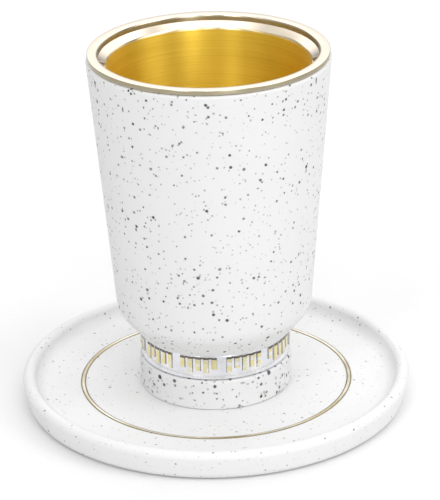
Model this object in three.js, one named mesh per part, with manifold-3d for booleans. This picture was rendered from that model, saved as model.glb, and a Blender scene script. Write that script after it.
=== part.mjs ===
// Kiddush cup standing on its saucer.
// A tapered cup of speckled white cast resin holds a gilt metal liner with a polished flat rim. A silver
// band with a row of raised gilt strokes fills the neck between the cup's bowl and its round foot. The foot
// stands in the well of a round resin saucer with an inlaid metal ring.
// Millimetres, +Z up. The origin is the centre of the saucer's underside, on the axis of all the pieces.
import * as THREE from 'three';
import { mergeVertices } from 'three/addons/utils/BufferGeometryUtils.js';
import Module from 'manifold-3d';

// Saucer: a thick round dish with a soft rim
const SAUCER_RADIUS = 66.5;
const SAUCER_HEIGHT = 10.4;
const SAUCER_FLOOR = 5.6;
const SAUCER_BASE_ROUND = 3.2;
const SAUCER_BASE_RADIUS = 62.2;
const SAUCER_RIM_ROUND = 2.2;
const SAUCER_WELL_ROUND = 4.2;

// Inlaid ring in the saucer's floor
const RING_RADIUS = 45.9;
const RING_WIDTH = 1.5;
const RING_DEPTH = 0.6;
const RING_CROWN = 0.3;
const RING_SIDE_GAP = 0.2;

// Clearance between pieces that rest on or fit into each other
const FIT_GAP = 0.3;

// Foot, neck and bowl of the cup, cast as one
const FOOT_RADIUS = 26;
const FOOT_TOP = 16.4;
const FOOT_ROUND = 0.8;
const NECK_RADIUS = 24.2;
const BOWL_BOTTOM = 25.8;
const BOWL_BOTTOM_RADIUS = 26.1;
const BOWL_SHOULDER_ANGLE = THREE.MathUtils.degToRad(40);
const BOWL_SHOULDER_ROUND = 9;
const BOWL_TOP = 123.1;
const BOWL_TOP_RADIUS = 40.5;
const BOWL_TOP_ROUND = 0.9;
const BOWL_TAPER = THREE.MathUtils.degToRad(4.77);

// Liner: a thin metal beaker that hangs in the bowl by its rim. The rim is a flat ring with a step on its
// inside, and a polished funnel runs from the step down to the beaker's side.
const LINER_WALL = 0.9;
const LINER_FLOOR = 43;
const LINER_FLOOR_ROUND = 8;
const FUNNEL_BOTTOM = 120.9;
const FUNNEL_BOTTOM_RADIUS = 33.6;
const FUNNEL_RISE = THREE.MathUtils.degToRad(36);
const RIM_TOP = 125;
const RIM_RADIUS = 40;
const RIM_EDGE_ROUND = 0.3;
const RIM_STEP_BOTTOM = 122.9;
const RIM_STEP_ROUND = 0.9;

// Band round the neck, with a row of raised strokes in groups
const BAND_RADIUS = 25.3;
const BAND_EDGE_ROUND = 0.4;
const STROKE_HEIGHT = 0.4;
const STROKE_ROOT = 0.3;
const STROKE_ROW_BOTTOM = 19.2;
const STROKE_ROW_TOP = 25;
const STROKE_GROUPS = 10;
const STROKES_IN_GROUP = 5;
const GROUP_SPACE = 0.14;
const STROKE_SPACE = 0.3;
const FIRST_GROUP_ANGLE = THREE.MathUtils.degToRad(8);
// Each kind of stroke is a list of spans, as fractions of the row's height
const STROKE_KINDS = [
  [[0, 1]],
  [[0, 0.42], [0.58, 1]],
  [[0, 1]],
  [[0, 0.6], [0.76, 1]],
];

// Steps of a full turn, of an arc in a profile and of a small edge round
const TURN_STEPS = 56;
const ARC_STEPS = 3;
const EDGE_STEPS = 2;

const RESIN_WHITE = new THREE.MeshStandardMaterial({ color: 0xf2f1ef, roughness: 0.6, metalness: 0 });
const SAUCER_WHITE = new THREE.MeshStandardMaterial({ color: 0xf4f3f1, roughness: 0.6, metalness: 0 });
const GILT_LINER = new THREE.MeshStandardMaterial({ color: 0xdcb53c, roughness: 0.28, metalness: 1 });
const SILVER_BAND = new THREE.MeshStandardMaterial({ color: 0xdedee0, roughness: 0.12, metalness: 1 });
const CHAMPAGNE_RING = new THREE.MeshStandardMaterial({ color: 0xd3c59c, roughness: 0.2, metalness: 1 });

const wasm = await Module();
wasm.setup();

// Points of a profile: x is the radius, y is the height
const point = (radius, height) => new THREE.Vector2(radius, height);

// Points on an arc round (radius, height), angles in radians counter-clockwise from outward
function arc(radius, height, size, from, to, steps = ARC_STEPS) {
  return Array.from({ length: steps + 1 }, (_, step) => {
    const angle = THREE.MathUtils.lerp(from, to, step / steps);
    return point(radius + size * Math.cos(angle), height + size * Math.sin(angle));
  });
}

// Solid of revolution about +Z. The profile runs counter-clockwise, from axis to axis or closed on itself.
function turned(profile) {
  const geometry = new THREE.LatheGeometry(profile, TURN_STEPS);
  geometry.rotateX(Math.PI / 2);
  return geometry;
}

function named(name, geometry, material) {
  const mesh = new THREE.Mesh(geometry, material);
  mesh.name = name;
  return mesh;
}

// Saucer's profile: flat underside, rounded base edge, leaning wall, round rim, then an S-curve of the rim's
// round and the well's round down to the floor, where a groove takes the ring
function saucerProfile() {
  const rimRadius = SAUCER_RADIUS - SAUCER_RIM_ROUND;
  const rimHeight = SAUCER_HEIGHT - SAUCER_RIM_ROUND;
  const wellHeight = SAUCER_FLOOR + SAUCER_WELL_ROUND;

  // The wall is the outer line that touches both the base round and the rim round
  const rise = rimHeight - SAUCER_BASE_ROUND;
  const reach = rimRadius - SAUCER_BASE_RADIUS;
  const narrowing = Math.asin((SAUCER_BASE_ROUND - SAUCER_RIM_ROUND) / Math.hypot(reach, rise));
  const lean = narrowing - Math.atan2(reach, rise);

  // The rim's round and the well's round touch where their centres are both rounds apart
  const drop = wellHeight - rimHeight;
  const wellRadius = rimRadius - Math.sqrt((SAUCER_RIM_ROUND + SAUCER_WELL_ROUND) ** 2 - drop ** 2);
  const turnOver = Math.PI - Math.atan2(drop, rimRadius - wellRadius);

  const grooveInner = RING_RADIUS - RING_WIDTH / 2 - RING_SIDE_GAP;
  const grooveOuter = RING_RADIUS + RING_WIDTH / 2 + RING_SIDE_GAP;
  const grooveFloor = SAUCER_FLOOR - RING_DEPTH - FIT_GAP;
  return [
    point(0, 0),
    ...arc(SAUCER_BASE_RADIUS, SAUCER_BASE_ROUND, SAUCER_BASE_ROUND, -Math.PI / 2, lean),
    ...arc(rimRadius, rimHeight, SAUCER_RIM_ROUND, lean, 0, 1),
    ...arc(rimRadius, rimHeight, SAUCER_RIM_ROUND, 0, Math.PI / 2).slice(1),
    ...arc(rimRadius, rimHeight, SAUCER_RIM_ROUND, Math.PI / 2, turnOver, EDGE_STEPS).slice(1),
    ...arc(wellRadius, wellHeight, SAUCER_WELL_ROUND, turnOver - Math.PI, -Math.PI / 2).slice(1),
    point(grooveOuter, SAUCER_FLOOR),
    point(grooveOuter, grooveFloor),
    point(grooveInner, grooveFloor),
    point(grooveInner, SAUCER_FLOOR),
    point(0, SAUCER_FLOOR),
  ];
}

// Ring's profile: a strip with a domed top that stands a little proud of the saucer's floor
function ringProfile() {
  const half = RING_WIDTH / 2;
  const bottom = SAUCER_FLOOR - RING_DEPTH;
  const domeRadius = (half ** 2 + RING_CROWN ** 2) / (2 * RING_CROWN);
  const domeCentre = SAUCER_FLOOR + RING_CROWN - domeRadius;
  const halfAngle = Math.asin(half / domeRadius);
  return [
    point(RING_RADIUS - half, bottom),
    point(RING_RADIUS + half, bottom),
    ...arc(RING_RADIUS, domeCentre, domeRadius, Math.PI / 2 - halfAngle, Math.PI / 2 + halfAngle),
    point(RING_RADIUS - half, bottom),
  ];
}

// Radius of the bowl's outer side at a height
const bowlSide = (height) => BOWL_TOP_RADIUS - (BOWL_TOP - height) * Math.tan(BOWL_TAPER);

// Radius of the liner's inner side at a height
const linerSide = (height) => FUNNEL_BOTTOM_RADIUS - (FUNNEL_BOTTOM - height) * Math.tan(BOWL_TAPER);

// Radius of the liner's funnel at a height
const funnelSide = (height) => FUNNEL_BOTTOM_RADIUS + (height - FUNNEL_BOTTOM) / Math.tan(FUNNEL_RISE);

// Beaker with a funnel on top, a set distance outside the liner's inner side, from its floor's centre up
function beaker(offset, top) {
  const round = LINER_FLOOR_ROUND + offset;
  const centreHeight = LINER_FLOOR + LINER_FLOOR_ROUND;
  const centreRadius = linerSide(centreHeight) - LINER_FLOOR_ROUND / Math.cos(BOWL_TAPER);

  // Both the side and the funnel move out by the offset, so they meet a little lower
  const funnelShift = offset / Math.sin(FUNNEL_RISE);
  const closing = 1 / Math.tan(FUNNEL_RISE) - Math.tan(BOWL_TAPER);
  const meetHeight = FUNNEL_BOTTOM - (funnelShift - offset) / closing;
  return [
    point(0, LINER_FLOOR - offset),
    ...arc(centreRadius, centreHeight, round, -Math.PI / 2, -BOWL_TAPER),
    point(linerSide(meetHeight) + offset, meetHeight),
    point(funnelSide(top) + funnelShift, top),
  ];
}

// Cup's profile: foot, recessed neck, conical bottom with a round shoulder, tapered side, rounded top edge,
// then the hollow that takes the liner
function cupProfile() {
  const footBottom = SAUCER_FLOOR + FIT_GAP;

  // The shoulder's round touches the tapered side, and the cone below it runs in to the bowl's bottom edge
  const coneSlope = Math.tan(BOWL_SHOULDER_ANGLE);
  const taperSlope = Math.tan(BOWL_TAPER);
  const sideRadius = bowlSide(BOWL_BOTTOM);
  const cornerRise = (sideRadius - BOWL_BOTTOM_RADIUS) / (coneSlope - taperSlope);
  const cornerHeight = BOWL_BOTTOM + cornerRise;
  const tangent = BOWL_SHOULDER_ROUND * Math.tan((BOWL_SHOULDER_ANGLE - BOWL_TAPER) / 2);
  const tangentHeight = cornerHeight + tangent * Math.cos(BOWL_TAPER);
  const centreHeight = tangentHeight + BOWL_SHOULDER_ROUND * Math.sin(BOWL_TAPER);
  const centreRadius = bowlSide(centreHeight) - BOWL_SHOULDER_ROUND / Math.cos(BOWL_TAPER);

  const footEdge = FOOT_RADIUS - FOOT_ROUND;
  const topHeight = BOWL_TOP - BOWL_TOP_ROUND;
  const topEdge = bowlSide(topHeight) - BOWL_TOP_ROUND;
  const hollow = beaker(LINER_WALL + FIT_GAP, BOWL_TOP).reverse();
  return [
    point(0, footBottom),
    ...arc(footEdge, footBottom + FOOT_ROUND, FOOT_ROUND, -Math.PI / 2, 0, EDGE_STEPS),
    ...arc(footEdge, FOOT_TOP - FOOT_ROUND, FOOT_ROUND, 0, Math.PI / 2, EDGE_STEPS),
    point(NECK_RADIUS, FOOT_TOP),
    point(NECK_RADIUS, BOWL_BOTTOM),
    point(BOWL_BOTTOM_RADIUS, BOWL_BOTTOM),
    ...arc(centreRadius, centreHeight, BOWL_SHOULDER_ROUND, -BOWL_SHOULDER_ANGLE, -BOWL_TAPER),
    ...arc(topEdge, topHeight, BOWL_TOP_ROUND, -BOWL_TAPER, Math.PI / 2, EDGE_STEPS),
    ...hollow,
  ];
}

// Liner's profile: beaker outside, rim's underside, outer edge, flat top, inner step, beaker inside
function linerProfile() {
  const underside = BOWL_TOP + FIT_GAP;
  const edge = RIM_RADIUS - RIM_EDGE_ROUND;
  const stepEdge = funnelSide(RIM_STEP_BOTTOM) + RIM_STEP_ROUND;
  return [
    ...beaker(LINER_WALL, underside),
    ...arc(edge, underside + RIM_EDGE_ROUND, RIM_EDGE_ROUND, -Math.PI / 2, 0, EDGE_STEPS),
    ...arc(edge, RIM_TOP - RIM_EDGE_ROUND, RIM_EDGE_ROUND, 0, Math.PI / 2, EDGE_STEPS),
    ...arc(stepEdge, RIM_TOP - RIM_STEP_ROUND, RIM_STEP_ROUND, Math.PI / 2, Math.PI),
    ...beaker(0, RIM_STEP_BOTTOM).reverse(),
  ];
}

// Band's profile: a plain strip with rounded outer edges, clear of the foot and of the bowl's bottom
function bandProfile() {
  const inner = NECK_RADIUS + FIT_GAP;
  const bottom = FOOT_TOP + FIT_GAP;
  const top = BOWL_BOTTOM - FIT_GAP;
  const edge = BAND_RADIUS - BAND_EDGE_ROUND;
  return [
    point(inner, bottom),
    ...arc(edge, bottom + BAND_EDGE_ROUND, BAND_EDGE_ROUND, -Math.PI / 2, 0, EDGE_STEPS),
    ...arc(edge, top - BAND_EDGE_ROUND, BAND_EDGE_ROUND, 0, Math.PI / 2, EDGE_STEPS),
    point(inner, top),
    point(inner, bottom),
  ];
}

// A closed geometry as a solid that can be joined to others
function solid(geometry) {
  const bare = geometry.clone();
  bare.deleteAttribute('normal');
  bare.deleteAttribute('uv');
  const merged = mergeVertices(bare, 1e-4);
  const vertProperties = new Float32Array(merged.attributes.position.array);
  const triVerts = new Uint32Array(merged.index.array);
  return new wasm.Manifold(new wasm.Mesh({ numProp: 3, vertProperties, triVerts }));
}

function geometryOf(manifold) {
  const { vertProperties, triVerts } = manifold.getMesh();
  const geometry = new THREE.BufferGeometry();
  geometry.setAttribute('position', new THREE.BufferAttribute(new Float32Array(vertProperties), 3));
  geometry.setIndex(new THREE.BufferAttribute(new Uint32Array(triVerts), 1));
  geometry.computeVertexNormals();
  return geometry;
}

// One raised stroke: a block bent round the band, from angle `from` to `to`, rooted below the band's face
function stroke(from, to, bottom, top) {
  const depth = STROKE_HEIGHT + STROKE_ROOT;
  const block = new THREE.BoxGeometry(to - from, depth, top - bottom);
  const position = block.attributes.position;
  for (let index = 0; index < position.count; index += 1) {
    const angle = (from + to) / 2 + position.getX(index);
    const radius = BAND_RADIUS - STROKE_ROOT + depth / 2 - position.getY(index);
    const height = (bottom + top) / 2 + position.getZ(index);
    position.setXYZ(index, radius * Math.sin(angle), -radius * Math.cos(angle), height);
  }
  return solid(block);
}

// The row of strokes runs right round the band: groups of strokes, with a wider space between the groups
function bandGeometry() {
  const groupAngle = (2 * Math.PI) / STROKE_GROUPS;
  const strokeAngle = (groupAngle * (1 - GROUP_SPACE)) / STROKES_IN_GROUP;
  const rowHeight = STROKE_ROW_TOP - STROKE_ROW_BOTTOM;
  let band = solid(turned(bandProfile()));
  for (let group = 0; group < STROKE_GROUPS; group += 1) {
    for (let place = 0; place < STROKES_IN_GROUP; place += 1) {
      const from = FIRST_GROUP_ANGLE + group * groupAngle + place * strokeAngle;
      const to = from + strokeAngle * (1 - STROKE_SPACE);
      const kind = STROKE_KINDS[(place + group) % STROKE_KINDS.length];
      for (const [low, high] of kind) {
        const bottom = STROKE_ROW_BOTTOM + low * rowHeight;
        const top = STROKE_ROW_BOTTOM + high * rowHeight;
        band = band.add(stroke(from, to, bottom, top));
      }
    }
  }
  return geometryOf(band);
}

const saucerSet = new THREE.Group();
saucerSet.add(named('saucer', turned(saucerProfile()), SAUCER_WHITE));
saucerSet.add(named('saucer_ring', turned(ringProfile()), CHAMPAGNE_RING));

const cupSet = new THREE.Group();
cupSet.add(named('cup_body', turned(cupProfile()), RESIN_WHITE));
cupSet.add(named('liner', turned(linerProfile()), GILT_LINER));
cupSet.add(named('name_band', bandGeometry(), SILVER_BAND));

const kiddushCup = new THREE.Group();
kiddushCup.add(saucerSet, cupSet);

export default kiddushCup;
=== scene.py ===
"""Dresses the kiddush cup and its saucer: speckled resin, gilt liner, silver band and inlaid ring.

Every piece is a surface turned about +Z. Sizes in the classes are millimetres, meshes are in metres in the
frame's own axes: +Z up, the viewer at -Y. The sizes that the frame already holds are read from it.
"""

import logging
import math
from dataclasses import dataclass, field
from enum import Enum

import bpy
import numpy as np
from mathutils import Euler, Matrix, Vector


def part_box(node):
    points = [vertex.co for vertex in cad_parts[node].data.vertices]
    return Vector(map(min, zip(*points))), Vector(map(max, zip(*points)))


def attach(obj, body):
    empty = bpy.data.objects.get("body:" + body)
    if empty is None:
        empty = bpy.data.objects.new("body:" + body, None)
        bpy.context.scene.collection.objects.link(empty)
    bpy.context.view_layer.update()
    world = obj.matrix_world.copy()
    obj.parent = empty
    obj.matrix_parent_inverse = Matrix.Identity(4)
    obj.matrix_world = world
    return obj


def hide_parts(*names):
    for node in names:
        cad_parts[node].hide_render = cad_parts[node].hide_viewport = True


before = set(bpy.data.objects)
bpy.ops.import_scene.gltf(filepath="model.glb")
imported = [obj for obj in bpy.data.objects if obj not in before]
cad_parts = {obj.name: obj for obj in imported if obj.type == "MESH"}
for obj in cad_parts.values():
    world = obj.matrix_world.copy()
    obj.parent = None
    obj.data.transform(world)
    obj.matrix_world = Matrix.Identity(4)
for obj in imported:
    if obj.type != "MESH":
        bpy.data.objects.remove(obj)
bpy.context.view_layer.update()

MM = 0.001
BODY = "root"
LOG = logging.getLogger("kiddush_cup")

# Meshes: steps in a full turn, the longest step along a profile and the length that counts as none, both in
# millimetres, the angle between faces past which an edge is sharp, and the name of the UV map
TURN_STEPS = 224
LONGEST_STEP = 3.0
TINY = 1e-6
SHARP_ANGLE = math.radians(38)
TURN_MAP = "turn"

# Noise textures: the range that most of their values lie in, and their mean
NOISE_LOW = 0.35
NOISE_HIGH = 0.65
NOISE_MEAN = 0.5


class Edge(Enum):
    """Lower or upper corner of a node's box."""

    LOW = 0
    HIGH = 1


class FaceMark(Enum):
    """Number on every face that a material reads: how far it is painted dark, as painted shade and dark
    reflection, or gilt.
    """

    DARK = "dark"
    GILT = "gilt"


def corner(node: str, edge: Edge) -> np.ndarray:
    """Give one corner of a CAD node's box.

    Args:
        node: name of the CAD node.
        edge: which of the two corners.

    Returns:
        The corner's x, y and z in millimetres.
    """
    return np.array(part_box(node)[edge.value]) / MM


def linear(hex_colour: str) -> tuple[float, float, float, float]:
    """Turn an sRGB hex colour into a linear one: the standard's straight line near black, its power above.

    Args:
        hex_colour: colour as six hex digits.

    Returns:
        Linear red, green and blue, and an alpha of 1.
    """
    srgb = np.array([int(hex_colour[i : i + 2], 16) for i in (0, 2, 4)]) / 255
    rgb = np.where(srgb <= 0.04045, srgb / 12.92, ((srgb + 0.055) / 1.055) ** 2.4)
    return (*rgb.tolist(), 1.0)


def arc(radius: float, height: float, size: float, start: float, end: float, steps: int) -> np.ndarray:
    """Points on an arc of a profile: centre plus size times (cos, sin) of evenly spaced angles.

    Args:
        radius: centre's distance from the axis.
        height: centre's height.
        size: the arc's own radius.
        start: first angle in degrees, counter-clockwise from outward.
        end: last angle in degrees.
        steps: number of chords.

    Returns:
        Array of (radius, height) rows.
    """
    angles = np.radians(np.linspace(start, end, steps + 1))
    return np.column_stack([radius + size * np.cos(angles), height + size * np.sin(angles)])


def profile_of(*stretches: np.ndarray | tuple[float, float]) -> np.ndarray:
    """Join stretches into one profile and cut its long straight runs into even steps.

    Args:
        stretches: arrays of (radius, height) rows, or single points.

    Returns:
        Array of (radius, height) rows with no run longer than LONGEST_STEP and no point twice in a row.
    """
    rows = np.vstack([np.atleast_2d(np.asarray(stretch, float)) for stretch in stretches])
    lengths = np.hypot(*np.diff(rows, axis=0).T)
    rows = rows[np.concatenate([[True], lengths > TINY])]
    lengths = lengths[lengths > TINY]
    cuts = np.maximum(np.ceil(lengths / LONGEST_STEP).astype(int), 1)
    places = np.concatenate([index + np.arange(count) / count for index, count in enumerate(cuts)])
    places = np.append(places, len(rows) - 1)
    return np.column_stack([np.interp(places, np.arange(len(rows)), column) for column in rows.T])


def turned(
    name: str,
    profile: np.ndarray,
    angles: np.ndarray | None = None,
    swell: np.ndarray | None = None,
) -> bpy.types.Object:
    """Carry a profile round +Z: (r, z) goes to (r sin a, -r cos a, z) for each angle a of a full turn.

    The profile runs counter-clockwise, from axis to axis or closed on itself, so that faces point outwards.
    A row on the axis becomes one vertex with a fan of triangles, so poles are closed, and the last angle is
    joined to the first. The UV map holds the share of the turn and the share of the profile's length.

    Args:
        name: name of the new object.
        profile: array of (radius, height) rows in millimetres.
        angles: angles of the turn in radians, evenly spaced if left out.
        swell: extra radius for each profile row and angle, in millimetres.

    Returns:
        The new object, at the origin, with its place in its mesh.
    """
    if angles is None:
        angles = np.linspace(0, 2 * np.pi, TURN_STEPS, endpoint=False)
    count = len(angles)
    run = np.concatenate([[0], np.cumsum(np.hypot(*np.diff(profile, axis=0).T))])
    run /= run[-1]
    closed = np.allclose(profile[0], profile[-1])
    rows = profile[:-1] if closed else profile
    on_axis = rows[:, 0] < TINY
    first = np.concatenate([[0], np.cumsum(np.where(on_axis, 1, count))])[:-1]

    # Vertices: every row at every angle, then only one of each row on the axis
    radii = rows[:, :1] + (0 if swell is None else swell[: len(rows)])
    across, away = radii * np.sin(angles), -radii * np.cos(angles)
    points = np.stack(np.broadcast_arrays(across, away, rows[:, 1:]), axis=-1)
    kept = ~on_axis[:, None] | (np.arange(count) == 0)
    vertices = points[kept] * MM

    # Faces: the patch between rows i and i + 1 and angles j and j + 1, corner by corner
    bands = len(profile) - 1
    i, j = (grid.ravel() for grid in np.meshgrid(np.arange(bands), np.arange(count), indexing="ij"))
    row = np.stack([i, i, i + 1, i + 1], axis=-1)
    column = np.stack([j, j + 1, j + 1, j], axis=-1)
    row_in = row % len(rows)
    corners = first[row_in] + np.where(on_axis[row_in], 0, column % count)
    turn = np.append(angles, angles[0] + 2 * np.pi) / (2 * np.pi)
    uv = np.stack([turn[column], run[row]], axis=-1)

    # A patch that meets the axis loses one of its two corners there, the first or the third
    single = np.ones_like(row, bool)
    single[:, ::2] = ~on_axis[row_in[:, ::2]]
    sizes = single.sum(axis=1)

    mesh = bpy.data.meshes.new(name)
    mesh.vertices.add(len(vertices))
    mesh.vertices.foreach_set("co", vertices.ravel())
    mesh.loops.add(int(sizes.sum()))
    mesh.loops.foreach_set("vertex_index", corners[single])
    mesh.polygons.add(len(sizes))
    mesh.polygons.foreach_set("loop_start", np.concatenate([[0], np.cumsum(sizes)[:-1]]))
    mesh.uv_layers.new(name=TURN_MAP).data.foreach_set("uv", uv[single].ravel())
    mesh.update(calc_edges=True)
    mesh.validate()
    mesh.polygons.foreach_set("use_smooth", np.ones(len(mesh.polygons), bool))
    mesh.set_sharp_from_angle(angle=SHARP_ANGLE)
    made = bpy.data.objects.new(name, mesh)
    bpy.context.scene.collection.objects.link(made)
    return made


def mark(piece: bpy.types.Object, kind: FaceMark, values: np.ndarray) -> None:
    """Write a number for every face, for the piece's material to read.

    Args:
        piece: piece from turned().
        kind: what the numbers mean.
        values: numbers in the order of the faces, row by row and then round the turn.
    """
    attribute = piece.data.attributes.new(kind.value, "FLOAT", "FACE")
    attribute.data.foreach_set("value", np.ascontiguousarray(values, np.float32).ravel())


def dress(piece: bpy.types.Object, node: str, material: bpy.types.Material) -> None:
    """Give a piece its material, and set it in the frame in the place of its CAD node.

    Args:
        piece: the new piece.
        node: CAD node that it stands for.
        material: the piece's finish.
    """
    piece.data.materials.append(material)
    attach(piece, BODY)
    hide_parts(node)
    LOG.info("%s: %d faces, %s", piece.name, len(piece.data.polygons), material.name)


def add_node(
    tree: bpy.types.NodeTree, kind: str, inputs: dict[str | int, object] | None = None, **settings: object
) -> bpy.types.Node:
    """Add one node with its settings, and fill or link its inputs.

    Args:
        tree: node tree that takes the node.
        kind: Blender's name for the kind of node.
        inputs: for each input, a constant or an output socket to link from.
        settings: attributes of the node itself.

    Returns:
        The new node.
    """
    node = tree.nodes.new(kind)
    for key, value in settings.items():
        setattr(node, key, value)
    for key, value in (inputs or {}).items():
        if isinstance(value, bpy.types.NodeSocket):
            tree.links.new(value, node.inputs[key])
        else:
            node.inputs[key].default_value = value
    return node


def new_material(name: str) -> tuple[bpy.types.Material, bpy.types.NodeTree, bpy.types.NodeSocket]:
    """Make an empty node material.

    Args:
        name: name of the material.

    Returns:
        The material, its tree, and the output's surface socket.
    """
    material = bpy.data.materials.new(name)
    material.use_nodes = True
    tree = material.node_tree
    tree.nodes.clear()
    output = add_node(tree, "ShaderNodeOutputMaterial")
    return material, tree, output.inputs["Surface"]


@dataclass(frozen=True)
class Specks:
    """One scatter of specks in the resin: grains that the surface cuts through, so their sizes vary.

    Attributes:
        spacing: mean distance between grains, in millimetres.
        size: largest radius of a grain, in millimetres.
        dark: hex colour of the darkest grains.
        light: hex colour of the palest grains.
        cover: how much a grain hides the resin, from 0 to 1.
        stretch: how much longer than wide a grain is.
        lean: direction that a long grain points in, as degrees about x, y and z.
        smallest: radius of the smallest grains, as a share of the largest.
        core: share of its radius at which a grain begins to fade out.
        fade: share of its radius at which it has faded out.
    """

    spacing: float
    size: float
    dark: str
    light: str
    cover: float = 1.0
    stretch: float = 1.0
    lean: tuple[float, float, float] = (0.0, 0.0, 0.0)
    smallest: float = 0.5
    core: float = 0.75
    fade: float = 1.2


@dataclass(frozen=True)
class SpeckledResin:
    """Stone-filled polyester resin, cast in a smooth mould and left matt.

    To the eye it is a soft chalky white with no clear reflections, very slightly cloudy, with a fine sandy
    grain and dark and grey grains of filler cut by the surface.

    Attributes:
        name: name of the material.
        white: hex colour of the resin.
        cloud: hex colour of its greyer clouds.
        specks: scatters of grains, the lower ones first.
        roughness: mean roughness.
        unevenness: how much smoother or rougher than that the clouds are.
        ior: index of refraction.
        grain: size of the sandy grain in millimetres, drawn coarser than the real one so that it shows.
        grain_height: height of the sandy grain in millimetres.
        grain_bump: strength of the sandy grain.
        cloud_size: size of the clouds in millimetres.
        ragged: how far the outline of a speck wanders, in millimetres.
        thinned: factor on the specks' size where they thin out.
        crowded: factor on the specks' size where they crowd.
        settled: factor on the specks' size at the bottom, where the coarse grains settled in the mould.
        settled_height: height up to which they settled, in millimetres.
        settled_blend: distance over which they thin out, to each side of that height, in millimetres.
    """

    name: str
    white: str
    cloud: str
    specks: tuple[Specks, ...]
    roughness: float = 0.62
    unevenness: float = 0.06
    ior: float = 1.5
    grain: float = 0.45
    grain_height: float = 0.05
    grain_bump: float = 0.12
    cloud_size: float = 14.0
    ragged: float = 0.45
    thinned: float = 0.72
    crowded: float = 1.08
    settled: float = 1.0
    settled_height: float = 0.0
    settled_blend: float = 4.0

    def material(self) -> bpy.types.Material:
        """Build the node material.

        Returns:
            The finished material.
        """
        made, tree, surface = new_material(self.name)
        place = add_node(tree, "ShaderNodeTexCoord").outputs["Object"]
        clouds = add_node(
            tree, "ShaderNodeTexNoise", {"Vector": place, "Scale": 1 / (self.cloud_size * MM), "Detail": 3.0}
        ).outputs["Fac"]
        grain = add_node(
            tree, "ShaderNodeTexNoise", {"Vector": place, "Scale": 1 / (self.grain * MM), "Detail": 2.0}
        )
        colour = add_node(
            tree,
            "ShaderNodeMix",
            {"Factor": clouds, "A": linear(self.white), "B": linear(self.cloud)},
            data_type="RGBA",
        ).outputs["Result"]

        # The specks' outlines wander: the place is shifted by a noise about as fine as a speck
        shift = (self.ragged * MM,) * 3
        wander = add_node(
            tree,
            "ShaderNodeVectorMath",
            {0: grain.outputs["Color"], 1: shift, 2: place},
            operation="MULTIPLY_ADD",
        ).outputs["Vector"]
        crowd = add_node(
            tree,
            "ShaderNodeMapRange",
            {
                "Value": clouds,
                "From Min": NOISE_LOW,
                "From Max": NOISE_HIGH,
                "To Min": self.thinned,
                "To Max": self.crowded,
            },
        ).outputs["Result"]
        height = add_node(tree, "ShaderNodeSeparateXYZ", {"Vector": place}).outputs["Z"]
        settled = add_node(
            tree,
            "ShaderNodeMapRange",
            {
                "Value": height,
                "From Min": (self.settled_height - self.settled_blend) * MM,
                "From Max": (self.settled_height + self.settled_blend) * MM,
                "To Min": self.settled,
            },
        ).outputs["Result"]
        growth = add_node(tree, "ShaderNodeMath", {0: crowd, 1: settled}, operation="MULTIPLY")
        for scatter in self.specks:
            colour = self._scatter(tree, scatter, wander, growth.outputs["Value"], colour)

        rough = add_node(
            tree,
            "ShaderNodeMapRange",
            {
                "Value": clouds,
                "To Min": self.roughness - self.unevenness,
                "To Max": self.roughness + self.unevenness,
            },
        )
        bump = add_node(
            tree,
            "ShaderNodeBump",
            {
                "Strength": self.grain_bump,
                "Distance": self.grain_height * MM,
                "Height": grain.outputs["Fac"],
            },
        )
        shader = add_node(
            tree,
            "ShaderNodeBsdfPrincipled",
            {
                "Base Color": colour,
                "Roughness": rough.outputs["Result"],
                "IOR": self.ior,
                "Normal": bump.outputs["Normal"],
            },
        )
        tree.links.new(shader.outputs["BSDF"], surface)
        return made

    def _scatter(
        self,
        tree: bpy.types.NodeTree,
        scatter: Specks,
        place: bpy.types.NodeSocket,
        growth: bpy.types.NodeSocket,
        under: bpy.types.NodeSocket,
    ) -> bpy.types.NodeSocket:
        """Lay one scatter of specks over a colour.

        A cell pattern gives each grain a centre. The distance to it, divided by a chance size between the
        smallest and the largest, is cut off at the grain's radius with a soft edge.

        Args:
            tree: node tree that takes the nodes.
            scatter: the scatter.
            place: coordinates with the wander in them.
            growth: factor on the grains' size, which makes them crowd or thin out.
            under: colour below the specks.

        Returns:
            The colour with the specks on it.
        """
        turned_place = add_node(
            tree,
            "ShaderNodeMapping",
            {
                "Vector": place,
                "Rotation": tuple(math.radians(angle) for angle in scatter.lean),
                "Scale": (1.0, 1.0, 1 / scatter.stretch),
            },
        )
        cells = add_node(
            tree,
            "ShaderNodeTexVoronoi",
            {"Vector": turned_place.outputs["Vector"], "Scale": 1 / (scatter.spacing * MM)},
        )
        chance = add_node(tree, "ShaderNodeSeparateColor", {"Color": cells.outputs["Color"]})
        chance_size = add_node(
            tree, "ShaderNodeMapRange", {"Value": chance.outputs["Red"], "To Min": scatter.smallest}
        )
        size = add_node(
            tree, "ShaderNodeMath", {0: chance_size.outputs["Result"], 1: growth}, operation="MULTIPLY"
        )
        reach = add_node(
            tree,
            "ShaderNodeMath",
            {0: cells.outputs["Distance"], 1: size.outputs["Value"]},
            operation="DIVIDE",
        )
        radius = scatter.size / scatter.spacing
        mask = add_node(
            tree,
            "ShaderNodeMapRange",
            {
                "Value": reach.outputs["Value"],
                "From Min": scatter.core * radius,
                "From Max": scatter.fade * radius,
                "To Min": scatter.cover,
                "To Max": 0.0,
            },
            interpolation_type="SMOOTHSTEP",
        )
        tone = add_node(
            tree,
            "ShaderNodeMix",
            {"Factor": chance.outputs["Green"], "A": linear(scatter.dark), "B": linear(scatter.light)},
            data_type="RGBA",
        )
        return add_node(
            tree,
            "ShaderNodeMix",
            {"Factor": mask.outputs["Result"], "A": under, "B": tone.outputs["Result"]},
            data_type="RGBA",
        ).outputs["Result"]


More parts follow.
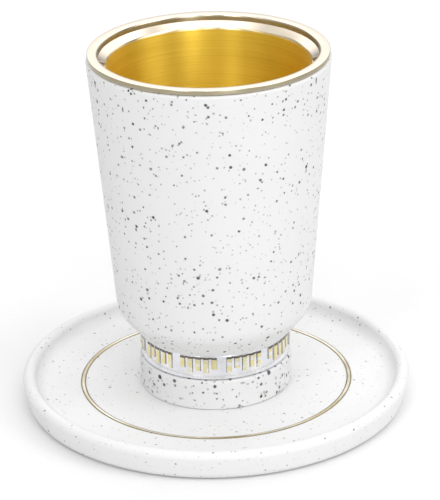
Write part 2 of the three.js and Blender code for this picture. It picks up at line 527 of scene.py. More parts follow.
@dataclass(frozen=True)
class GiltLiner:
    """Spun aluminium, anodised gold and brushed round inside, with a polished pale rim.

    To the eye the inside is a deep yellow that smears highlights up and down across the brush lines, and the
    rim mirrors the room in pale champagne. The rim's upright faces are painted dark, a painted dark
    reflection.

    Attributes:
        name: name of the material.
        gold: hex colour of the brushed inside.
        shade: hex colour of the brush lines' darker streaks.
        rim: hex colour of the polished rim.
        edge: hex colour of the rim's upright faces, a painted dark reflection.
        line: spacing of the brush lines in millimetres, drawn coarser than the real ones so that they show.
        streak: length of a brush line in millimetres.
        brush_end: distance below the neck where the brush lines begin to fade, in millimetres.
        polish_start: distance above the neck where the polish is whole, in millimetres.
        shade_rough: roughness of the darker streaks.
        gold_rough: roughness between them.
        rim_rough: roughness of the polished rim.
        edge_rough: roughness of the rim's upright faces.
        scratch_depth: depth of the brush lines in millimetres.
        scratch_bump: strength of the brush lines.
        smear: how far the brush lines draw highlights out, from 0 to 1.
        smear_turn: share of a turn from the lines' direction to the way that they draw highlights out.
    """

    name: str
    gold: str
    shade: str
    rim: str
    edge: str
    line: float = 0.35
    streak: float = 45.0
    brush_end: float = 0.7
    polish_start: float = 0.4
    shade_rough: float = 0.54
    gold_rough: float = 0.46
    rim_rough: float = 0.08
    edge_rough: float = 0.35
    scratch_depth: float = 0.02
    scratch_bump: float = 0.05
    smear: float = 0.85
    smear_turn: float = 0.25

    def material(self, neck: float) -> bpy.types.Material:
        """Build the node material.

        Args:
            neck: height where the brushed side meets the polished funnel, in millimetres.

        Returns:
            The finished material.
        """
        made, tree, surface = new_material(self.name)
        place = add_node(tree, "ShaderNodeTexCoord").outputs["Object"]
        height = add_node(tree, "ShaderNodeSeparateXYZ", {"Vector": place}).outputs["Z"]
        polish = add_node(
            tree,
            "ShaderNodeMapRange",
            {
                "Value": height,
                "From Min": (neck - self.brush_end) * MM,
                "From Max": (neck + self.polish_start) * MM,
            },
        ).outputs["Result"]
        along = 1 / (self.streak * MM)
        stretched = add_node(
            tree, "ShaderNodeMapping", {"Vector": place, "Scale": (along, along, 1 / (self.line * MM))}
        )
        lines = add_node(
            tree, "ShaderNodeTexNoise", {"Vector": stretched.outputs["Vector"], "Scale": 1.0, "Detail": 3.0}
        ).outputs["Fac"]
        streaks = add_node(
            tree, "ShaderNodeMapRange", {"Value": lines, "From Min": NOISE_LOW, "From Max": NOISE_HIGH}
        ).outputs["Result"]
        brushed = add_node(
            tree,
            "ShaderNodeMix",
            {"Factor": streaks, "A": linear(self.shade), "B": linear(self.gold)},
            data_type="RGBA",
        )
        # The rim's upright faces, marked dark, get the edge colour: a painted dark reflection
        marked = add_node(tree, "ShaderNodeAttribute", attribute_name=FaceMark.DARK.value)
        painted_dark_rim = marked.outputs["Fac"]
        polished = add_node(
            tree,
            "ShaderNodeMix",
            {"Factor": painted_dark_rim, "A": linear(self.rim), "B": linear(self.edge)},
            data_type="RGBA",
        )
        colour = add_node(
            tree,
            "ShaderNodeMix",
            {"Factor": polish, "A": brushed.outputs["Result"], "B": polished.outputs["Result"]},
            data_type="RGBA",
        )
        brushed_rough = add_node(
            tree,
            "ShaderNodeMapRange",
            {"Value": streaks, "To Min": self.shade_rough, "To Max": self.gold_rough},
        )
        polished_rough = add_node(
            tree,
            "ShaderNodeMapRange",
            {"Value": painted_dark_rim, "To Min": self.rim_rough, "To Max": self.edge_rough},
        )
        rough = add_node(
            tree,
            "ShaderNodeMix",
            {"Factor": polish, "A": brushed_rough.outputs["Result"], "B": polished_rough.outputs["Result"]},
            data_type="FLOAT",
        )
        scratches = add_node(
            tree, "ShaderNodeMix", {"Factor": polish, "A": lines, "B": NOISE_MEAN}, data_type="FLOAT"
        )
        bump = add_node(
            tree,
            "ShaderNodeBump",
            {
                "Strength": self.scratch_bump,
                "Distance": self.scratch_depth * MM,
                "Height": scratches.outputs["Result"],
            },
        )
        tangent = add_node(tree, "ShaderNodeTangent", direction_type="UV_MAP", uv_map=TURN_MAP)
        shader = add_node(
            tree,
            "ShaderNodeBsdfPrincipled",
            {
                "Base Color": colour.outputs["Result"],
                "Metallic": 1.0,
                "Roughness": rough.outputs["Result"],
                "Anisotropic": self.smear,
                "Anisotropic Rotation": self.smear_turn,
                "Tangent": tangent.outputs["Tangent"],
                "Normal": bump.outputs["Normal"],
            },
        )
        tree.links.new(shader.outputs["BSDF"], surface)
        return made


@dataclass(frozen=True)
class PlatedMetal:
    """Brass, electroplated and polished, with the faintest unevenness of a buffed surface.

    To the eye it mirrors the room a little softly. Faces marked gilt are gold, broken by small patches of
    pale plate that are painted reflections, and faces marked dark are painted darker, mostly as painted
    shade.

    Attributes:
        name: name of the material.
        plate: hex colour of the plate.
        dulled: hex colour where it is a little dulled.
        gilt: hex colour of the gilt faces.
        painted_dark: hex colour of the dark faces.
        roughness: mean roughness.
        unevenness: how much smoother or rougher than that the buffing leaves it.
        buff: size of the unevenness in millimetres.
        reflection_patch_size: size of the patches of pale plate in the gilt, painted reflections, in
            millimetres.
        reflection_whole: value of the patches' noise up to which only plate shows, with no gilt.
        gilt_whole: value of the patches' noise from which the gilt is whole.
    """

    name: str
    plate: str
    dulled: str
    gilt: str
    # tarnish: hex colour painted on the faces marked dark, mostly painted shade.
    painted_dark: str
    roughness: float = 0.12
    unevenness: float = 0.04
    buff: float = 5.0
    reflection_patch_size: float = 1.8
    reflection_whole: float = 0.36
    gilt_whole: float = 0.5

    def material(self) -> bpy.types.Material:
        """Build the node material.

        Returns:
            The finished material.
        """
        made, tree, surface = new_material(self.name)
        place = add_node(tree, "ShaderNodeTexCoord").outputs["Object"]
        buffed = add_node(
            tree, "ShaderNodeTexNoise", {"Vector": place, "Scale": 1 / (self.buff * MM), "Detail": 3.0}
        ).outputs["Fac"]
        dulling = add_node(
            tree, "ShaderNodeMapRange", {"Value": buffed, "From Min": NOISE_LOW, "From Max": NOISE_HIGH}
        )
        plate = add_node(
            tree,
            "ShaderNodeMix",
            {"Factor": dulling.outputs["Result"], "A": linear(self.plate), "B": linear(self.dulled)},
            data_type="RGBA",
        )
        # Painted reflection: small patches of the pale plate break up the gilt
        reflection_noise = add_node(
            tree, "ShaderNodeTexNoise", {"Vector": place, "Scale": 1 / (self.reflection_patch_size * MM), "Detail": 3.0}
        ).outputs["Fac"]
        gilded = add_node(tree, "ShaderNodeAttribute", attribute_name=FaceMark.GILT.value).outputs["Fac"]
        left = add_node(
            tree,
            "ShaderNodeMapRange",
            {"Value": reflection_noise, "From Min": self.reflection_whole, "From Max": self.gilt_whole, "To Max": gilded},
        )
        gold = add_node(
            tree,
            "ShaderNodeMix",
            {"Factor": left.outputs["Result"], "A": plate.outputs["Result"], "B": linear(self.gilt)},
            data_type="RGBA",
        )
        # Faces marked dark are painted darker: mostly painted shade
        dark = add_node(tree, "ShaderNodeAttribute", attribute_name=FaceMark.DARK.value).outputs["Fac"]
        colour = add_node(
            tree,
            "ShaderNodeMix",
            {"Factor": dark, "A": gold.outputs["Result"], "B": linear(self.painted_dark)},
            data_type="RGBA",
        )
        rough = add_node(
            tree,
            "ShaderNodeMapRange",
            {
                "Value": buffed,
                "To Min": self.roughness - self.unevenness,
                "To Max": self.roughness + self.unevenness,
            },
        )
        shader = add_node(
            tree,
            "ShaderNodeBsdfPrincipled",
            {"Base Color": colour.outputs["Result"], "Metallic": 1.0, "Roughness": rough.outputs["Result"]},
        )
        tree.links.new(shader.outputs["BSDF"], surface)
        return made


@dataclass(frozen=True)
class PaintedBoard:
    """Fibreboard, rolled with matt white paint.

    To the eye it is an even white ground with hardly any gloss, on which only the shadows show.

    Attributes:
        name: name of the material.
        white: hex colour of the paint.
        shade: hex colour of the hollows in it.
        tooth: size of the roller's texture in millimetres, drawn coarser than the real one so that it shows.
        roughness: roughness of the paint.
        gloss: level of its mirrored light.
    """

    name: str
    white: str
    shade: str
    tooth: float = 5 / 3
    roughness: float = 0.9
    gloss: float = 0.1

    def material(self) -> bpy.types.Material:
        """Build the node material.

        Returns:
            The finished material.
        """
        made, tree, surface = new_material(self.name)
        place = add_node(tree, "ShaderNodeTexCoord").outputs["Object"]
        tooth = add_node(
            tree, "ShaderNodeTexNoise", {"Vector": place, "Scale": 1 / (self.tooth * MM), "Detail": 2.0}
        )
        colour = add_node(
            tree,
            "ShaderNodeMix",
            {"Factor": tooth.outputs["Fac"], "A": linear(self.white), "B": linear(self.shade)},
            data_type="RGBA",
        )
        shader = add_node(
            tree,
            "ShaderNodeBsdfPrincipled",
            {
                "Base Color": colour.outputs["Result"],
                "Roughness": self.roughness,
                "Specular IOR Level": self.gloss,
            },
        )
        tree.links.new(shader.outputs["BSDF"], surface)
        return made


CUP_RESIN = SpeckledResin(
    name="polyester_resin_cast_speckled",
    white="E3E3E3",
    cloud="DFDFDF",
    specks=(
        Specks(spacing=1.9, size=0.46, dark="8A8A8A", light="C2C2C2", cover=0.8),
        Specks(spacing=2.7, size=0.56, dark="343434", light="7C7C7C", cover=0.9),
        Specks(spacing=4.5, size=0.72, dark="1A1A1A", light="363636", cover=0.95),
        Specks(
            spacing=5.6,
            size=0.42,
            dark="33312F",
            light="5A5856",
            cover=0.9,
            stretch=3.0,
            lean=(8.0, 38.0, 0.0),
        ),
    ),
    settled=1.3,
    settled_height=20.0,
)

SAUCER_RESIN = SpeckledResin(
    name="polyester_resin_cast_fewer_specks",
    white="E6E6E6",
    cloud="E1E1E1",
    specks=(
        Specks(spacing=1.7, size=0.34, dark="A8A8A8", light="CFCECC", cover=0.75),
        Specks(spacing=3.3, size=0.5, dark="525150", light="A4A3A1", cover=0.8),
    ),
)

# The edge colour is a painted dark reflection on the rim's upright faces
LINER_GILT = GiltLiner(
    name="aluminium_gold_anodised_brushed", gold="FBDD5C", shade="F2D04F", rim="FBEEDA", edge="AFA68C"
)

# Its dark colour paints the shadow along the top of each group of strokes and darkens the strokes' sides
# Its gilt shows small patches of plate that are painted reflections
BAND_PLATE = PlatedMetal(
    name="brass_silver_plated_polished",
    plate="FAFAFF",
    dulled="EAEBF1",
    gilt="F0E4A8",
    painted_dark="746B5C",
    roughness=0.16,
)

# Its dark colour paints shade on the ring's two shoulders
RING_PLATE = PlatedMetal(
    name="brass_champagne_plated_polished",
    plate="F4F0E4",
    dulled="B5A782",
    gilt="F4F0E4",
    painted_dark="91866A",
    roughness=0.2,
    buff=24.0,
)

FLOOR_BOARD = PaintedBoard(name="fibreboard_painted_matt_white", white="EAEAEA", shade="E7E7E7")


@dataclass
class Saucer:
    """The saucer and the ring laid in its floor.

    Attributes:
        radius: outer radius.
        height: height of the rim.
        floor: height of the floor.
        base_round: radius of the round between underside and wall.
        base_radius: distance from the axis to that round's centre.
        rim_round: radius of the rim's round.
        well_round: radius of the hollow round between rim and floor.
        ring_outer: outer radius of the ring.
        ring_width: width of the ring.
        ring_bottom: height of the ring's underside.
        ring_top: height of the ring's crown.
        groove_gap: gap between the ring and each side of its groove.
        painted_shade_start: share of the ring's half width where the painted shade on its dome begins.
        painted_shade_end: share of the ring's half width where the painted shade is whole.
    """

    radius: float = field(default_factory=lambda: corner("saucer", Edge.HIGH)[0])
    height: float = field(default_factory=lambda: corner("saucer", Edge.HIGH)[2])
    floor: float = 5.6
    base_round: float = 3.2
    base_radius: float = 62.2
    rim_round: float = 2.2
    well_round: float = 4.2
    ring_outer: float = field(default_factory=lambda: corner("saucer_ring", Edge.HIGH)[0])
    ring_width: float = 1.5
    ring_bottom: float = field(default_factory=lambda: corner("saucer_ring", Edge.LOW)[2])
    ring_top: float = field(default_factory=lambda: corner("saucer_ring", Edge.HIGH)[2])
    groove_gap: float = 0.12
    painted_shade_start: float = 0.4
    painted_shade_end: float = 0.8

    def dish_profile(self) -> np.ndarray:
        """Flat underside, base round, the wall that touches base round and rim round, and an S-curve down.

        The rim's round and the well's round touch where their centres are both rounds apart.

        Returns:
            Array of (radius, height) rows from axis to axis.
        """
        rim_radius = self.radius - self.rim_round
        rim_height = self.height - self.rim_round
        well_height = self.floor + self.well_round
        reach = rim_radius - self.base_radius
        rise = rim_height - self.base_round
        narrowing = math.asin((self.base_round - self.rim_round) / math.hypot(reach, rise))
        lean = math.degrees(narrowing - math.atan2(reach, rise))
        drop = well_height - rim_height
        well_radius = rim_radius - math.sqrt((self.rim_round + self.well_round) ** 2 - drop**2)
        over = 180 - math.degrees(math.atan2(drop, rim_radius - well_radius))
        groove_outer = self.ring_outer + self.groove_gap
        groove_inner = self.ring_outer - self.ring_width - self.groove_gap
        return profile_of(
            (0, 0),
            arc(self.base_radius, self.base_round, self.base_round, -90, lean, steps=14),
            arc(rim_radius, rim_height, self.rim_round, lean, 0, steps=2),
            arc(rim_radius, rim_height, self.rim_round, 0, 90, steps=12),
            arc(rim_radius, rim_height, self.rim_round, 90, over, steps=10),
            arc(well_radius, well_height, self.well_round, over - 180, -90, steps=14),
            (groove_outer, self.floor),
            (groove_outer, self.ring_bottom),
            (groove_inner, self.ring_bottom),
            (groove_inner, self.floor),
            (0, self.floor),
        )

    def ring_profile(self) -> np.ndarray:
        """Strip with a domed top: the dome is the arc through its two shoulders and its crown.

        Returns:
            Array of (radius, height) rows, closed on itself.
        """
        half = self.ring_width / 2
        middle = self.ring_outer - half
        crown = self.ring_top - self.floor
        dome = (half**2 + crown**2) / (2 * crown)
        spread = math.degrees(math.asin(half / dome))
        return profile_of(
            (middle - half, self.ring_bottom),
            (middle + half, self.ring_bottom),
            arc(middle, self.ring_top - dome, dome, 90 - spread, 90 + spread, steps=10),
            (middle - half, self.ring_bottom),
        )

    def build(self) -> None:
        """Make and dress the saucer and its ring.

        The ring's dark mark, a painted shade, rises from 0 on its crown to 1 at its two shoulders.
        """
        dress(turned("saucer_dish", self.dish_profile()), "saucer", SAUCER_RESIN.material())
        profile = self.ring_profile()
        ring = turned("saucer_inlay", profile)
        half = self.ring_width / 2
        # Painted shade: darker towards the ring's two shoulders
        aside = np.abs((profile[1:, 0] + profile[:-1, 0]) / 2 - (self.ring_outer - half)) / half
        painted_shade = np.clip((aside - self.painted_shade_start) / (self.painted_shade_end - self.painted_shade_start), 0, 1)
        mark(ring, FaceMark.DARK, np.repeat(painted_shade, TURN_STEPS))
        dress(ring, "saucer_ring", RING_PLATE.material())


@dataclass
class Cup:
    """The cup: resin body with foot and bowl, gilt liner, and silver band round the neck.

    Attributes:
        rest: height of the foot's underside.
        foot_radius: radius of the foot.
        foot_top: height of the foot's upper side.
        foot_round: radius of the rounds on the foot's two edges.
        neck_radius: radius of the neck between foot and bowl, behind the band.
        bowl_bottom: height of the bowl's lower edge.
        bowl_bottom_radius: radius of that edge.
        shoulder_angle: degrees from upright of the cone at the bowl's bottom.
        shoulder_round: radius of the round between cone and side.
        bowl_top: height of the bowl's upper edge.
        bowl_top_radius: radius of the side, carried on up to that height.
        top_round: radius of the round on the upper edge.
        taper: degrees from upright of the bowl's side and the liner's.
        fit_gap: gap between pieces that fit together.
        liner_wall: thickness of the liner.
        liner_floor: height of the liner's floor.
        liner_round: radius of the round between the liner's floor and side.
        liner_neck: height where the liner's side meets its funnel.
        liner_neck_radius: inner radius there.
        funnel_rise: slope of the funnel in degrees.
        funnel_round: radius of the round between side and funnel.
        rim_top: height of the liner's flat rim.
        rim_radius: outer radius of that rim.
        rim_edge_round: radius of the rounds on its outer edge.
        step_bottom: height where the rim's inner step meets the funnel.
        step_round: radius of the round on the step.
        upright_start: climb of a face over its length, from which it begins to count as upright.
        band_radius: outer radius of the band.
        band_bottom: height of the band's lower edge.
        band_top: height of its upper edge.
    """

    rest: float = 5.6
    foot_radius: float = 26.0
    foot_top: float = 16.4
    foot_round: float = 0.8
    neck_radius: float = 24.2
    bowl_bottom: float = 25.8
    bowl_bottom_radius: float = 26.1
    shoulder_angle: float = 40.0
    shoulder_round: float = 9.0
    bowl_top: float = field(default_factory=lambda: corner("cup_body", Edge.HIGH)[2])
    bowl_top_radius: float = 40.5
    top_round: float = 0.9
    taper: float = 4.77
    fit_gap: float = 0.3
    liner_wall: float = 0.9
    liner_floor: float = 43.0
    liner_round: float = 8.0
    liner_neck: float = 120.9
    liner_neck_radius: float = 33.6
    funnel_rise: float = 36.0
    funnel_round: float = 1.5
    rim_top: float = field(default_factory=lambda: corner("liner", Edge.HIGH)[2])
    rim_radius: float = field(default_factory=lambda: corner("liner", Edge.HIGH)[0])
    rim_edge_round: float = 0.3
    step_bottom: float = 122.9
    step_round: float = 0.9
    upright_start: float = 2 / 3
    band_radius: float = 25.3
    band_bottom: float = field(default_factory=lambda: corner("name_band", Edge.LOW)[2])
    band_top: float = field(default_factory=lambda: corner("name_band", Edge.HIGH)[2])

    def bowl_side(self, height: float) -> float:
        """Radius of the bowl's outer side at a height."""
        return self.bowl_top_radius - (self.bowl_top - height) * math.tan(math.radians(self.taper))

    def liner_side(self, height: float) -> float:
        """Radius of the liner's inner side at a height."""
        return self.liner_neck_radius - (self.liner_neck - height) * math.tan(math.radians(self.taper))

    def funnel_side(self, height: float) -> float:
        """Radius of the liner's polished funnel at a height."""
        return self.liner_neck_radius + (height - self.liner_neck) / math.tan(math.radians(self.funnel_rise))

    def beaker(self, offset: float, top: float) -> np.ndarray:
        """Flat floor, floor round, tapered side and funnel, a set distance outside the liner's inside.

        Side and funnel meet in a round that touches both.

        Args:
            offset: distance from the liner's inside.
            top: height where the funnel is cut off.

        Returns:
            Array of (radius, height) rows from the axis up.
        """
        taper = math.radians(self.taper)
        rise = math.radians(self.funnel_rise)
        centre = self.liner_floor + self.liner_round
        radius = self.liner_side(centre) - self.liner_round / math.cos(taper)
        tangent = self.funnel_round * math.tan((math.pi / 2 - taper - rise) / 2)
        touch = self.liner_neck - tangent * math.cos(taper)
        bend_height = touch - self.funnel_round * math.sin(taper)
        bend_radius = self.liner_side(touch) + self.funnel_round * math.cos(taper)
        bend = self.funnel_round - offset
        return profile_of(
            (0, self.liner_floor - offset),
            arc(radius, centre, self.liner_round + offset, -90, -self.taper, steps=16),
            arc(bend_radius, bend_height, bend, 180 - self.taper, 90 + self.funnel_rise, steps=8),
            (self.funnel_side(top) + offset / math.sin(rise), top),
        )

    def body_profile(self) -> np.ndarray:
        """Foot, recessed neck, cone, shoulder round that touches cone and side, top edge and hollow.

        Returns:
            Array of (radius, height) rows from axis to axis.
        """
        taper = math.radians(self.taper)
        cone = math.radians(self.shoulder_angle)
        overhang = self.bowl_side(self.bowl_bottom) - self.bowl_bottom_radius
        rise = overhang / (math.tan(cone) - math.tan(taper))
        tangent = self.shoulder_round * math.tan((cone - taper) / 2)
        touch = self.bowl_bottom + rise + tangent * math.cos(taper)
        centre = touch + self.shoulder_round * math.sin(taper)
        radius = self.bowl_side(centre) - self.shoulder_round / math.cos(taper)
        foot_edge = self.foot_radius - self.foot_round
        top_height = self.bowl_top - self.top_round
        top_edge = self.bowl_side(top_height) - self.top_round
        return profile_of(
            (0, self.rest),
            arc(foot_edge, self.rest + self.foot_round, self.foot_round, -90, 0, steps=8),
            arc(foot_edge, self.foot_top - self.foot_round, self.foot_round, 0, 90, steps=8),
            (self.neck_radius, self.foot_top),
            (self.neck_radius, self.bowl_bottom),
            (self.bowl_bottom_radius, self.bowl_bottom),
            arc(radius, centre, self.shoulder_round, -self.shoulder_angle, -self.taper, steps=16),
            arc(top_edge, top_height, self.top_round, -self.taper, 90, steps=10),
            self.beaker(self.liner_wall + self.fit_gap, self.bowl_top)[::-1],
        )

    def liner_profile(self) -> np.ndarray:
        """Beaker outside, rim's underside, edge, flat top and inner step, then the beaker inside.

        Returns:
            Array of (radius, height) rows from axis to axis.
        """
        underside = self.bowl_top + self.fit_gap
        edge = self.rim_radius - self.rim_edge_round
        step = self.funnel_side(self.step_bottom)
        return profile_of(
            self.beaker(self.liner_wall, underside),
            arc(edge, underside + self.rim_edge_round, self.rim_edge_round, -90, 0, steps=6),
            arc(edge, self.rim_top - self.rim_edge_round, self.rim_edge_round, 0, 90, steps=6),
            arc(step + self.step_round, self.rim_top - self.step_round, self.step_round, 90, 180, steps=8),
            self.beaker(0, self.step_bottom)[::-1],
        )

    def build(self) -> None:
        """Make and dress the cup's body, liner and band.

        The liner's dark mark is 1 on the upright faces of its rim: the outer edge and the inner step. There
        it paints a dark reflection.
        """
        dress(turned("cup_resin_body", self.body_profile()), "cup_body", CUP_RESIN.material())
        profile = self.liner_profile()
        liner = turned("cup_gilt_liner", profile)
        # Painted dark reflection: the rim's upright faces are marked dark
        run, climb = np.abs(np.diff(profile, axis=0)).T
        steepness = climb / np.hypot(run, climb)
        upright = np.clip((steepness - self.upright_start) / (1 - self.upright_start), 0, 1)
        on_rim = profile[1:, 1] + profile[:-1, 1] > 2 * self.step_bottom
        mark(liner, FaceMark.DARK, np.repeat(upright * on_rim, TURN_STEPS))
        dress(liner, "liner", LINER_GILT.material(self.liner_neck))
        StrokeBand(
            radius=self.band_radius,
            inner=self.neck_radius + self.fit_gap,
            bottom=self.band_bottom,
            top=self.band_top,
        ).build()


@dataclass
class StrokeBand:
    """Silver band with a row of raised gilt strokes in groups: plain upright bars of a few lengths.

    Attributes:
        radius: outer radius.
        inner: inner radius.
        bottom: height of the lower edge.
        top: height of the upper edge.
        edge_round: radius of the rounds on both edges.
        stroke_height: how far the strokes stand out.
        bevel: width of the slope on a stroke's sides.
        shadow_line_height: height of the painted shadow along the top of each group, under the bowl.
        side_darkness: how far the strokes' sides are painted darker, from 0 to 1.
        row_bottom: height of the longest strokes' lower ends.
        row_top: height of all strokes' upper ends.
        groups: number of groups round the band.
        strokes_in_group: number of strokes in each.
        group_space: share of a group's angle that is left free after it.
        stroke_space: share of a stroke's angle that is left free after it.
        first_group: angle of the first stroke, in degrees from the viewer round to the viewer's right.
        shortened: for each kind of stroke, the share of the row's height missing at its lower end.
        even_steps: steps in a full turn, apart from those at the strokes' edges.
        angle_digits: decimals of a radian to which angles count as the same.
        level_digits: decimals of a millimetre to which heights count as the same.
        raised_share: share of the strokes' height past which a face is raised, or a stroke's side.
    """

    radius: float
    inner: float
    bottom: float
    top: float
    edge_round: float = 0.4
    stroke_height: float = 0.4
    bevel: float = 0.2
    shadow_line_height: float = 0.7
    side_darkness: float = 0.6
    row_bottom: float = 19.2
    row_top: float = 25.0
    groups: int = 10
    strokes_in_group: int = 5
    group_space: float = 0.14
    stroke_space: float = 0.3
    first_group: float = 8.0
    shortened: tuple[float, ...] = (0.0, 0.24, 0.0, 0.12)
    even_steps: int = 180
    angle_digits: int = 6
    level_digits: int = 4
    raised_share: float = 0.5

    @staticmethod
    def ramp(value: np.ndarray, start: float, end: np.ndarray | float, bevel: float) -> np.ndarray:
        """Flat-topped bump: rises from 0 to 1 over the bevel after start, and falls again before end."""
        return np.clip(np.minimum(value - start, end - value) / bevel, 0, 1)

    def stroke_edges(self) -> tuple[np.ndarray, np.ndarray, np.ndarray]:
        """Give the angles of every stroke's two sides, and the kind of each.

        Returns:
            Start angles and end angles in radians, and each stroke's kind as an index into shortened.
        """
        group, place = (grid.ravel() for grid in np.mgrid[: self.groups, : self.strokes_in_group])
        group_angle = 2 * np.pi / self.groups
        stroke_angle = group_angle * (1 - self.group_space) / self.strokes_in_group
        start = math.radians(self.first_group) + group * group_angle + place * stroke_angle
        return start, start + stroke_angle * (1 - self.stroke_space), (place + group) % len(self.shortened)

    def build(self) -> None:
        """Make and dress the band.

        The band is a turned strip whose outer face swells by the stroke height times the side bump of a
        stroke's angles times the end bump of its heights. Grid lines follow every edge and bevel, so that
        each stroke is a crisp bevelled bar.
        """
        start, end, kind = self.stroke_edges()
        slope = self.bevel / self.radius
        even = np.linspace(0, 2 * np.pi, self.even_steps, endpoint=False)
        angles = np.concatenate([even, start, start + slope, end - slope, end]) % (2 * np.pi)
        angles = np.unique(np.round(angles, self.angle_digits))

        lower_ends = self.row_bottom + np.array(self.shortened) * (self.row_top - self.row_bottom)
        levels = np.append(lower_ends, [self.row_top, self.row_top - self.shadow_line_height])
        levels = np.concatenate([levels - self.bevel, levels, levels + self.bevel])
        levels = np.unique(np.round(levels, self.level_digits))
        levels = levels[(levels > self.row_bottom - TINY) & (levels < self.row_top + TINY)]
        edge = self.radius - self.edge_round
        profile = profile_of(
            (self.inner, self.bottom),
            arc(edge, self.bottom + self.edge_round, self.edge_round, -90, 0, steps=6),
            np.column_stack([np.full_like(levels, self.radius), levels]),
            arc(edge, self.top - self.edge_round, self.edge_round, 0, 90, steps=6),
            (self.inner, self.top),
            (self.inner, self.bottom),
        )
        outer = (profile[:, 0] > self.radius - TINY)[:, None]
        height = profile[:, 1:]
        relief = np.zeros((len(profile), len(angles)))
        for index, lower_end in enumerate(lower_ends):
            chosen = kind == index
            turns = (angles[:, None] - start[chosen]) % (2 * np.pi)
            side = self.ramp(turns, 0, (end - start)[chosen], slope).max(axis=1)
            relief += outer * self.ramp(height, lower_end, self.row_top, self.bevel) * side
        band = turned("neck_band", profile, angles, relief * self.stroke_height)

        # Faces: gilt on top of the strokes, painted darker on their sides, and a painted shadow along the
        # top of each group
        around = np.concatenate([relief, relief[:, :1]], axis=1)
        corners = np.stack([around[:-1, :-1], around[1:, :-1], around[:-1, 1:], around[1:, 1:]])
        raised = corners.max(axis=0) > self.raised_share
        side_face = np.ptp(corners, axis=0) > self.raised_share
        middle = (angles + np.diff(np.append(angles, angles[0] + 2 * np.pi)) / 2 - start[0]) % (2 * np.pi)
        in_group = middle % (2 * np.pi / self.groups) < end[self.strokes_in_group - 1] - start[0]
        rows = (profile[1:, 1:] + profile[:-1, 1:]) / 2
        # Painted shadow: a strip along the top of each group, under the bowl, is marked dark
        in_painted_shadow = (rows > self.row_top - self.shadow_line_height) & (rows < self.row_top) & outer[1:] & outer[:-1]
        dark = side_face | (in_painted_shadow & in_group)
        mark(band, FaceMark.DARK, np.where(side_face, self.side_darkness, dark))
        mark(band, FaceMark.GILT, raised & ~dark)
        dress(band, "name_band", BAND_PLATE.material())


@dataclass(frozen=True)
class SoftBox:
    """A soft-edged lamp in the studio's sky.

    Attributes:
        azimuth: direction of its middle, in degrees from the viewer round to the viewer's right.
        reach: degrees from its middle to its upright edges.
        low: elevation of its lower edge in degrees.
        high: elevation of its upper edge in degrees.
        softness: degrees over which the edges fade, to each side.
        level: brightness that it adds.
    """

    azimuth: float
    reach: float
    low: float
    high: float
    softness: float
    level: float

    def over(
        self,
        tree: bpy.types.NodeTree,
        turn: bpy.types.NodeSocket,
        rise: bpy.types.NodeSocket,
        under: bpy.types.NodeSocket,
    ) -> bpy.types.NodeSocket:
        """Add the lamp to a sky: its share is the product of a soft step at each of its edges.

        Args:
            tree: the world's node tree.
            turn: azimuth of the line of sight, in radians.
            rise: elevation of the line of sight, in radians.
            under: brightness of the sky so far.

        Returns:
            Brightness with the lamp in it.
        """
        offset = add_node(
            tree, "ShaderNodeMath", {0: turn, 1: math.radians(self.azimuth)}, operation="SUBTRACT"
        ).outputs["Value"]
        wrapped = add_node(
            tree, "ShaderNodeMath", {0: offset, 1: math.pi, 2: -math.pi}, operation="WRAP"
        ).outputs["Value"]
        aside = add_node(tree, "ShaderNodeMath", {0: wrapped}, operation="ABSOLUTE").outputs["Value"]
        share: bpy.types.NodeSocket | float = 1.0
        for angle, outside, inside in (
            (aside, self.reach + self.softness, self.reach - self.softness),
            (rise, self.low - self.softness, self.low + self.softness),
            (rise, self.high + self.softness, self.high - self.softness),
        ):
            share = add_node(
                tree,
                "ShaderNodeMapRange",
                {
                    "Value": angle,
                    "From Min": math.radians(outside),
                    "From Max": math.radians(inside),
                    "To Max": share,
                },
                interpolation_type="SMOOTHSTEP",
            ).outputs["Result"]
        return add_node(
            tree, "ShaderNodeMath", {0: share, 1: self.level, 2: under}, operation="MULTIPLY_ADD"
        ).outputs["Value"]


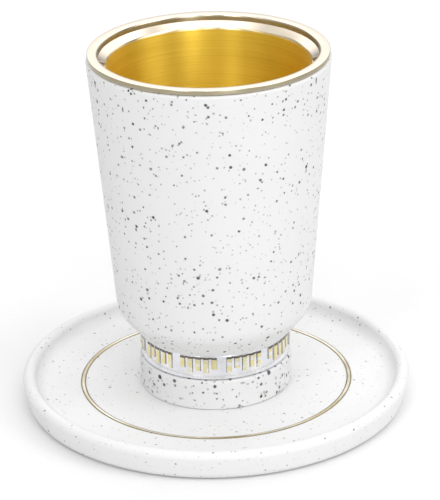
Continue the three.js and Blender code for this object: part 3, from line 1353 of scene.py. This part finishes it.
@dataclass
class Studio:
    """Pale floor, soft light and the camera at the photograph's angle.

    Attributes:
        elevation: degrees that the camera looks down.
        roll: degrees that it is rolled.
        distance: distance from the camera to its aim.
        focal_pixels: focal length in pixels of the photograph.
        image_height: height of the photograph in pixels, its longer side.
        sensor: length of the sensor's longer side.
        aim: point that the camera looks at.
        floor_side: length of the floor's sides.
        light_colour: hex colour of all the light.
        walls: brightness of the walls.
        ceiling: brightness of the ceiling.
        ceiling_low: elevation in degrees where the walls begin to blend into the ceiling.
        ceiling_high: elevation in degrees where the ceiling is whole.
        boxes: soft lamps that are added to walls and ceiling.
    """

    elevation: float = 23.49
    roll: float = -1.3
    distance: float = 870.0
    focal_pixels: float = 2568.0
    image_height: int = 500
    sensor: float = 36.0
    aim: tuple[float, float, float] = (2.3, 0.0, 53.2)
    floor_side: float = 6000.0
    light_colour: str = "FFFFFF"
    walls: float = 0.2
    ceiling: float = 0.8
    ceiling_low: float = 34.0
    ceiling_high: float = 52.0
    boxes: tuple[SoftBox, ...] = (
        # A panel overhead, a wide one behind, and fills behind the viewer and at the left
        SoftBox(azimuth=0, reach=360, low=66, high=130, softness=8, level=0.65),
        SoftBox(azimuth=172, reach=55, low=13, high=56, softness=12, level=1.1),
        SoftBox(azimuth=0, reach=70, low=2, high=24, softness=6, level=0.35),
        SoftBox(azimuth=-95, reach=25, low=5, high=45, softness=10, level=0.3),
        # Upright lamps in front, which draw the bands of light in the gold
        SoftBox(azimuth=-60, reach=5, low=20, high=60, softness=4, level=1.4),
        SoftBox(azimuth=-30, reach=7, low=20, high=60, softness=4, level=4.0),
        SoftBox(azimuth=0, reach=5, low=20, high=60, softness=4, level=2.0),
        SoftBox(azimuth=25, reach=10, low=20, high=60, softness=4, level=2.3),
        SoftBox(azimuth=72, reach=17, low=18, high=60, softness=4, level=2.6),
        SoftBox(azimuth=17, reach=6, low=6, high=18, softness=4, level=8.0),
    )

    def floor(self) -> None:
        """Make the floor: one large pale square, at the height of the saucer's underside."""
        half = self.floor_side / 2 * MM
        mesh = bpy.data.meshes.new("studio_floor")
        square = [(-half, -half, 0), (half, -half, 0), (half, half, 0), (-half, half, 0)]
        mesh.from_pydata(square, [], [(0, 1, 2, 3)])
        mesh.materials.append(FLOOR_BOARD.material())
        floor = bpy.data.objects.new("studio_floor", mesh)
        bpy.context.scene.collection.objects.link(floor)

    def light(self) -> None:
        """Light the room: dim walls that blend into a pale ceiling, and soft lamps added to them."""
        world = bpy.data.worlds.new("studio_sky")
        world.use_nodes = True
        bpy.context.scene.world = world
        tree = world.node_tree
        tree.nodes.clear()
        sight = add_node(tree, "ShaderNodeTexCoord").outputs["Generated"]
        x, y, z = add_node(tree, "ShaderNodeSeparateXYZ", {"Vector": sight}).outputs
        front = add_node(tree, "ShaderNodeMath", {0: y, 1: -1.0}, operation="MULTIPLY").outputs["Value"]
        turn = add_node(tree, "ShaderNodeMath", {0: x, 1: front}, operation="ARCTAN2").outputs["Value"]
        rise = add_node(tree, "ShaderNodeMath", {0: z}, operation="ARCSINE").outputs["Value"]
        strength = add_node(
            tree,
            "ShaderNodeMapRange",
            {
                "Value": rise,
                "From Min": math.radians(self.ceiling_low),
                "From Max": math.radians(self.ceiling_high),
                "To Min": self.walls,
                "To Max": self.ceiling,
            },
            interpolation_type="SMOOTHSTEP",
        ).outputs["Result"]
        for box in self.boxes:
            strength = box.over(tree, turn, rise, strength)
        sky = add_node(
            tree, "ShaderNodeBackground", {"Color": linear(self.light_colour), "Strength": strength}
        )
        add_node(tree, "ShaderNodeOutputWorld", {"Surface": sky.outputs["Background"]})

    def camera(self) -> None:
        """Set the camera: it looks down at the aim point from the viewer's side, rolled a little."""
        scene = bpy.context.scene
        data = bpy.data.cameras.new("camera")
        data.sensor_width = self.sensor
        data.lens = self.focal_pixels * self.sensor / self.image_height
        made = bpy.data.objects.new("camera", data)
        scene.collection.objects.link(made)
        rise = math.radians(self.elevation)
        back = Vector((0, -math.cos(rise), math.sin(rise)))
        tilt = Euler((math.pi / 2 - rise, 0, 0)).to_matrix()
        turn = tilt @ Matrix.Rotation(math.radians(self.roll), 3, "Z")
        made.location = (Vector(self.aim) + back * self.distance) * MM
        made.rotation_euler = turn.to_euler()
        scene.camera = made
        scene.view_settings.view_transform = "Standard"

    def build(self) -> None:
        """Make the floor, the light and the camera."""
        self.floor()
        self.light()
        self.camera()


def main() -> None:
    """Build the studio and the pieces in order."""
    logging.basicConfig(level=logging.INFO, format="%(name)s %(message)s")
    Studio().build()
    Saucer().build()
    Cup().build()


if __name__ == "__main__":
    main()
